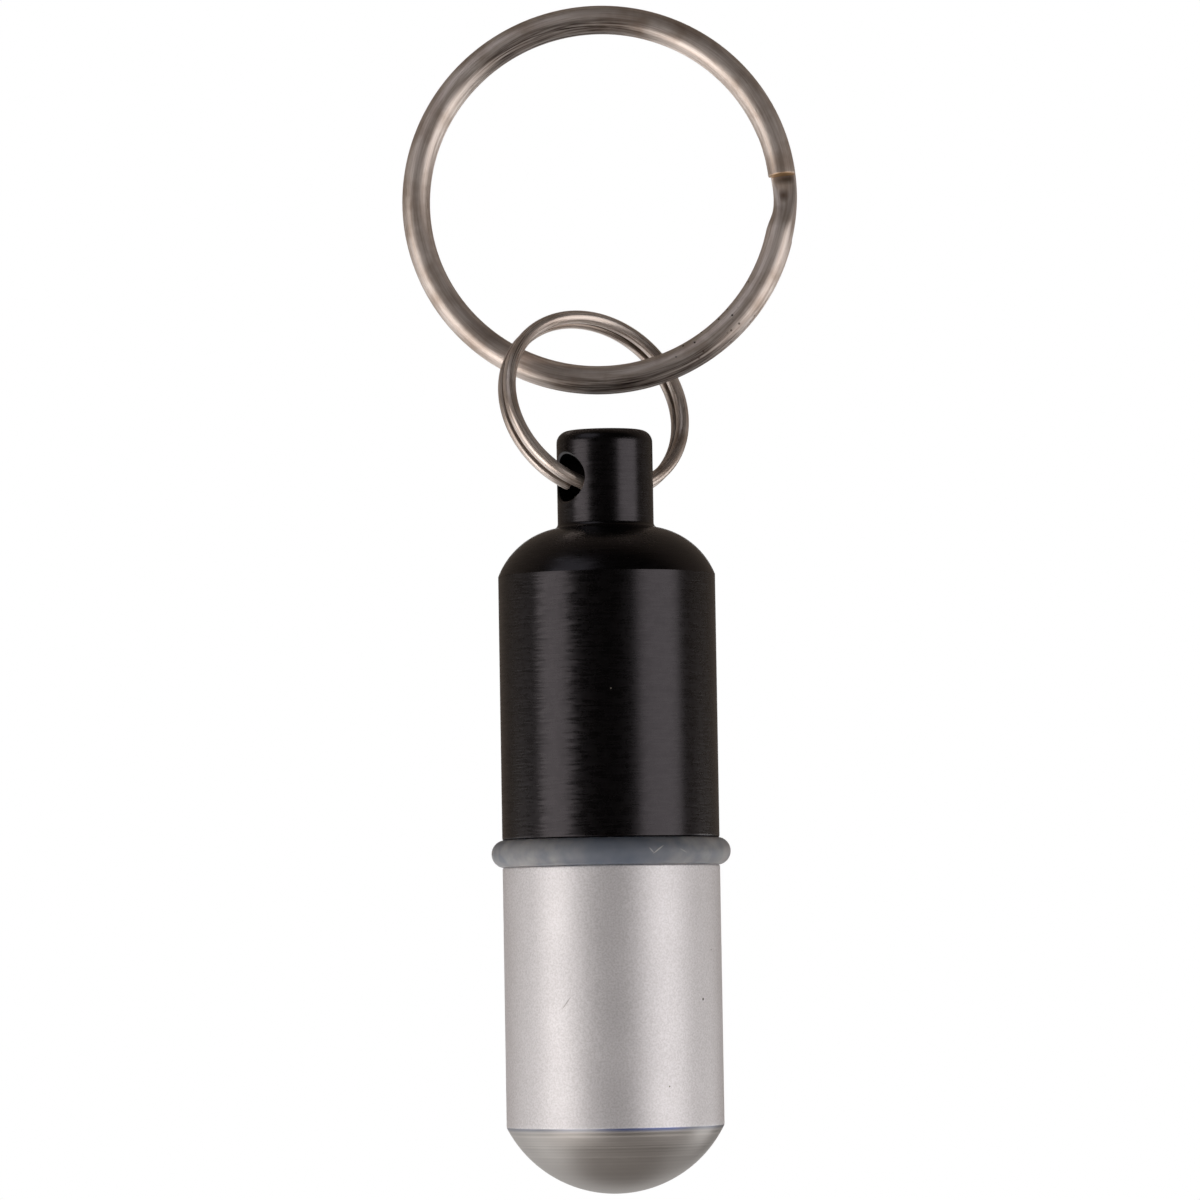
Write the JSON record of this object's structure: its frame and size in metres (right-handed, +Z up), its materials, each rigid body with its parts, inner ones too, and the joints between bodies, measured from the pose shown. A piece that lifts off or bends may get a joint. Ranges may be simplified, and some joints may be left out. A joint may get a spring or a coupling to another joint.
{
  "type": "waterproof key ring capsule",
  "caption": "Slim cylindrical screw-together metal pill capsule with a domed base, a seal ring at the joint and a necked cap that hangs on linked split rings.",
  "frame": {"origin": "inner top of the large split ring, where a hook or a key bunch carries it", "axes": "+Z up along the capsule's axis towards the rings, +X to the right as pictured, -Y towards the viewer"},
  "size_m": [0.0258, 0.0154, 0.0775],
  "materials": {
    "black_anodised_aluminium": "gloss",
    "satin_anodised_aluminium": "satin",
    "silicone_rubber": "matte",
    "nickel_plated_steel": "polished"
  },
  "bodies": {
    "large_ring": {"large_split_ring": "nickel_plated_steel"},
    "small_ring": {"small_split_ring": "nickel_plated_steel"},
    "cap": {"capsule_cap": "black_anodised_aluminium"},
    "seal": {"seal_o_ring": "silicone_rubber"},
    "body": {"capsule_body": "satin_anodised_aluminium"}
  },
  "joints": [
    {"name": "link_swivel", "type": "hinge", "parent": "large_ring", "child": "small_ring", "pos_m": [0.00028, -0.00228, -0.02303], "axis": [0, 0, 1], "range_deg": [-4, 108]},
    {"name": "neck_swing", "type": "hinge", "parent": "small_ring", "child": "cap", "pos_m": [-0.00001, -0.00537, -0.0297], "axis": [0.8387, 0.5446, 0], "range_deg": [-85, 75]},
    {"name": "seal_travel", "type": "slide", "parent": "cap", "child": "seal", "axis": [0, 0, -1], "range_m": [0, 0.007]},
    {"name": "body_screw", "type": "hinge", "parent": "seal", "child": "body", "pos_m": [-0.00001, -0.00537, -0.05462], "axis": [0, 0, -1], "range_deg": [0, 2521]}
  ],
  "couplings": [
    {"joint": "body_screw", "follows": "seal_travel", "rad_per_m": 6283.2}
  ]
}
